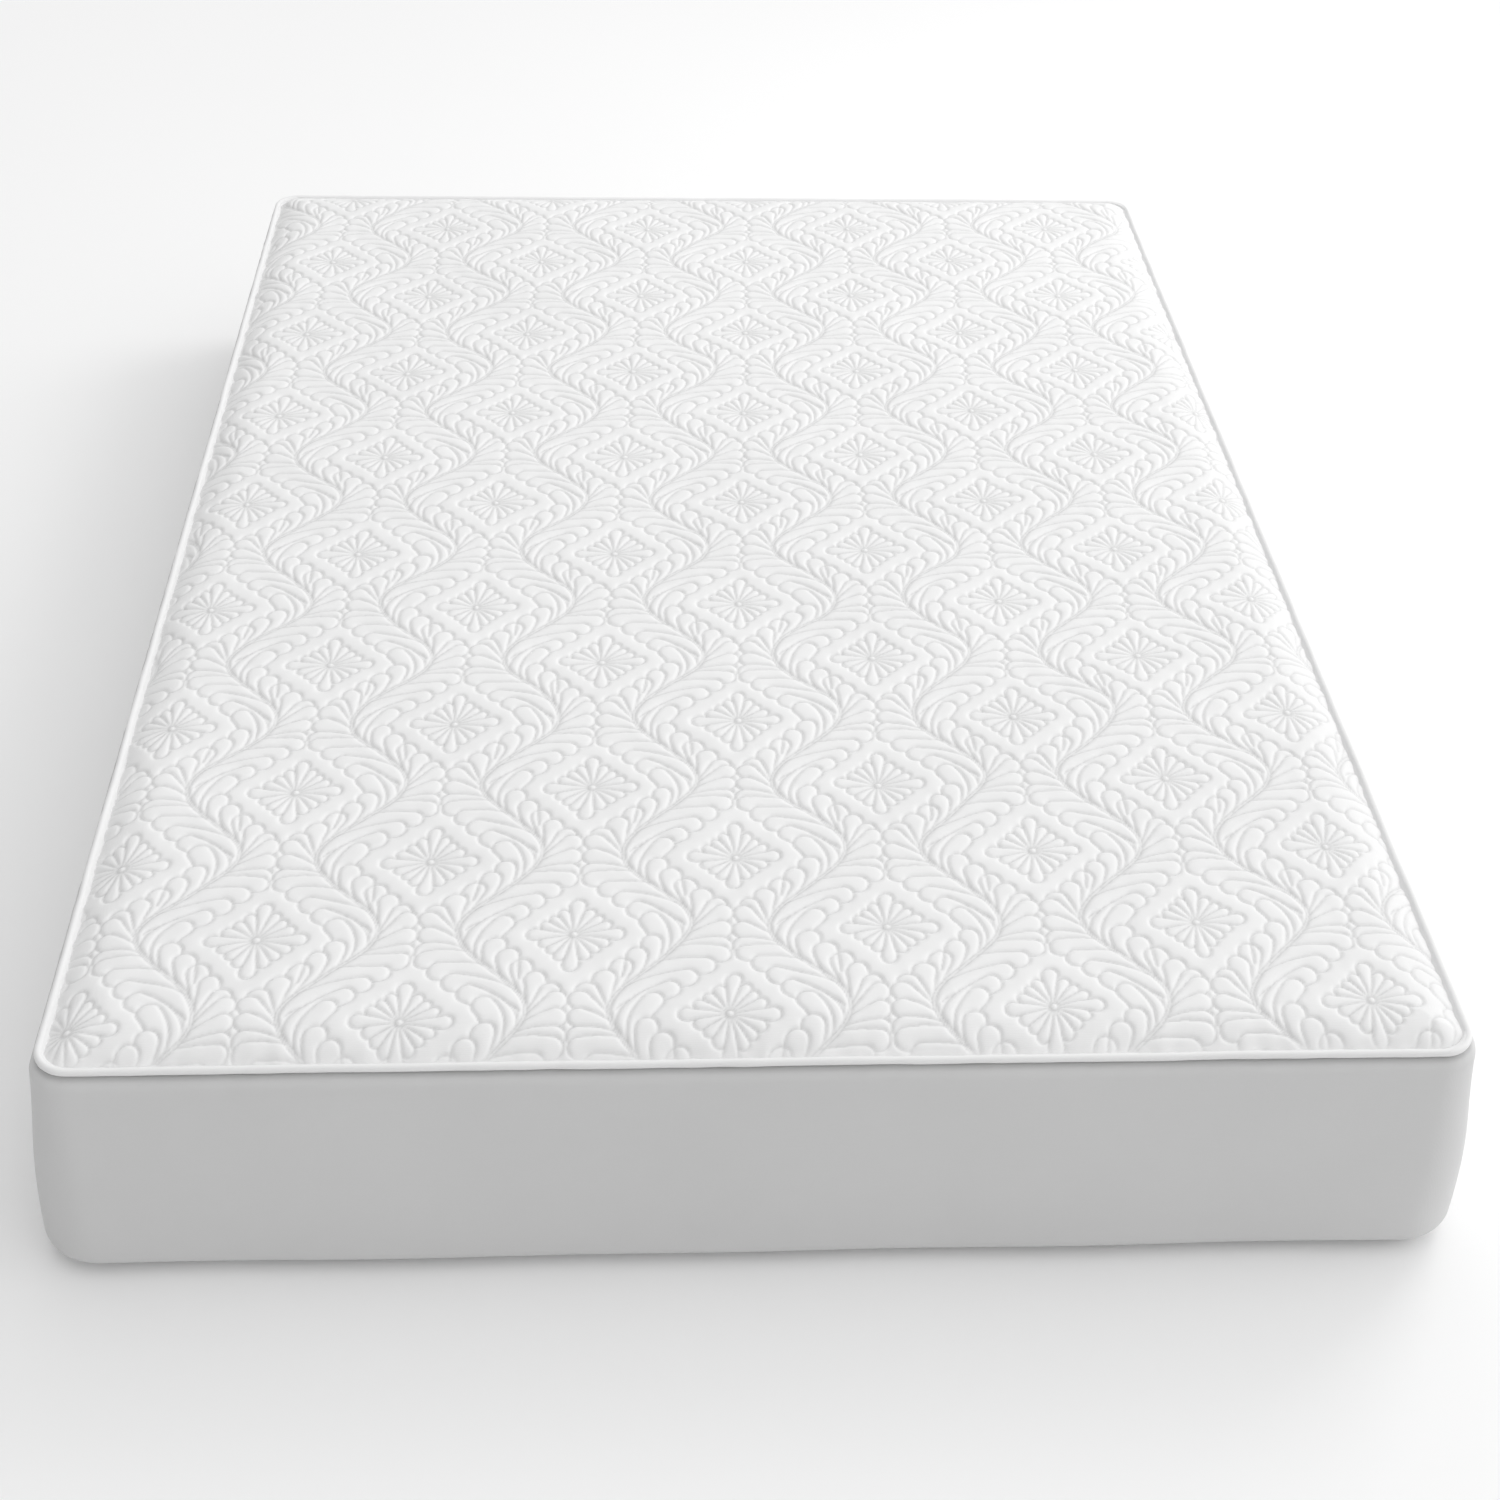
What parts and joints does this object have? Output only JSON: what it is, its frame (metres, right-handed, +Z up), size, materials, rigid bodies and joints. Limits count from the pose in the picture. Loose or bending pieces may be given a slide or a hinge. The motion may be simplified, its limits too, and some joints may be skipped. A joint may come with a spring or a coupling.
{
  "type": "memory foam mattress",
  "caption": "Double-size foam mattress: layered foam core in a zip-off cover with a feather-and-rosette quilted top, piped top edge and smooth knitted border.",
  "frame": {"origin": "middle of the underside, on the surface that the mattress rests on", "axes": "+Z up, +Y along the length towards the head end, which holds the zip; +X across the width, to the right seen from the foot end"},
  "size_m": [1.372, 1.905, 0.267],
  "materials": {
    "base_foam": "matte",
    "transition_foam": "matte",
    "memory_foam": "matte",
    "sock_knit": "matte",
    "backing_cloth": "matte",
    "quilt_fill": "matte",
    "quilt_knit": "matte",
    "piping_cord": "matte",
    "piping_fabric": "satin",
    "border_knit": "matte",
    "border_wadding": "matte",
    "bottom_fabric": "matte",
    "zip_tape": "matte",
    "zip_coil": "satin",
    "zip_metal": "satin",
    "label_cloth": "satin"
  },
  "bodies": {
    "mattress": {"base_support_foam": "base_foam", "transition_foam": "transition_foam", "memory_foam_layer": "memory_foam", "inner_sock": "sock_knit", "quilt_backing": "backing_cloth", "quilt_fill": "quilt_fill", "quilt_face_fabric": "quilt_knit", "piping_cord": "piping_cord", "piping_cover": "piping_fabric", "border_band": "border_knit", "border_wadding": "border_wadding", "bottom_panel": "bottom_fabric", "zipper_tape_upper": "zip_tape", "zipper_tape_lower": "zip_tape", "zipper_coil_upper": "zip_coil", "zipper_coil_lower": "zip_coil", "zipper_top_stop_upper": "zip_metal", "zipper_top_stop_lower": "zip_metal", "zipper_bottom_stop": "zip_metal", "care_label": "label_cloth"},
    "zip_slider": {"zipper_slider": "zip_metal"},
    "zip_pull": {"zipper_pull_tab": "zip_metal"}
  },
  "joints": [
    {"name": "zip_slide", "type": "slide", "parent": "mattress", "child": "zip_slider", "axis": [1, 0, 0], "range_m": [0, 1.132]},
    {"name": "zip_pull_hinge", "type": "hinge", "parent": "zip_slider", "child": "zip_pull", "pos_m": [-0.566, 0.94915, 0.044], "axis": [0, 0, 1], "range_deg": [0, 175]}
  ]
}
